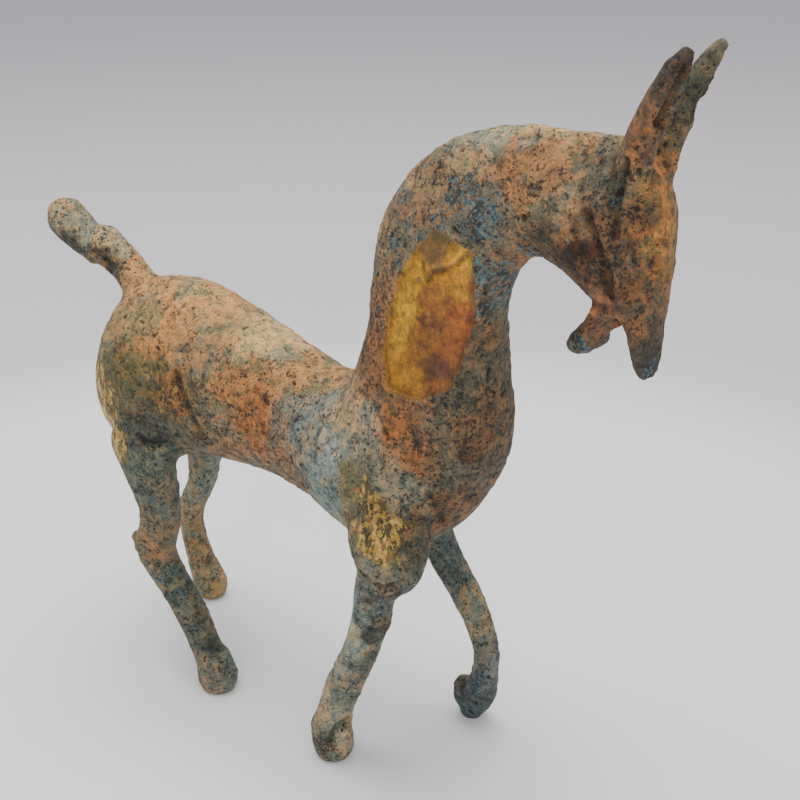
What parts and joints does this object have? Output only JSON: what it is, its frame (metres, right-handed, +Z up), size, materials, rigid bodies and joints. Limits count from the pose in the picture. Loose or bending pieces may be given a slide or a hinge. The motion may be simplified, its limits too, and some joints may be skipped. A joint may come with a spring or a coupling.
{
  "type": "horse statue",
  "caption": "Walking horse figure cast in sections, with arched neck, upright ears, raised tail and folded left foreleg; rests on its hooves.",
  "frame": {"origin": "middle of the statue's footprint box, on the surface it stands on", "axes": "+X the way the horse faces, +Y its left side, +Z up"},
  "size_m": [0.2134, 0.0542, 0.2011],
  "materials": {
    "bronze": "earthy green, blue and orange patina over cast bronze, with worn gilding",
    "pin_bronze": "plain drawn bronze",
    "core_clay": "fired casting clay"
  },
  "bodies": {
    "root": {"torso_rear": "bronze", "torso_front": "bronze", "neck": "bronze", "head": "bronze", "lower_jaw": "bronze", "ear_right": "bronze", "ear_left": "bronze", "tail": "bronze", "foreleg_right": "bronze", "foreleg_left": "bronze", "hind_leg_right": "bronze", "hind_leg_left": "bronze", "core_rear": "core_clay", "core_front": "core_clay", "core_neck": "core_clay", "core_pins": "pin_bronze", "seam_pins": "pin_bronze", "leg_dowels": "pin_bronze", "tail_dowel": "pin_bronze", "head_dowel": "pin_bronze", "ear_dowels": "pin_bronze", "jaw_dowel": "pin_bronze"}
  },
  "joints": []
}
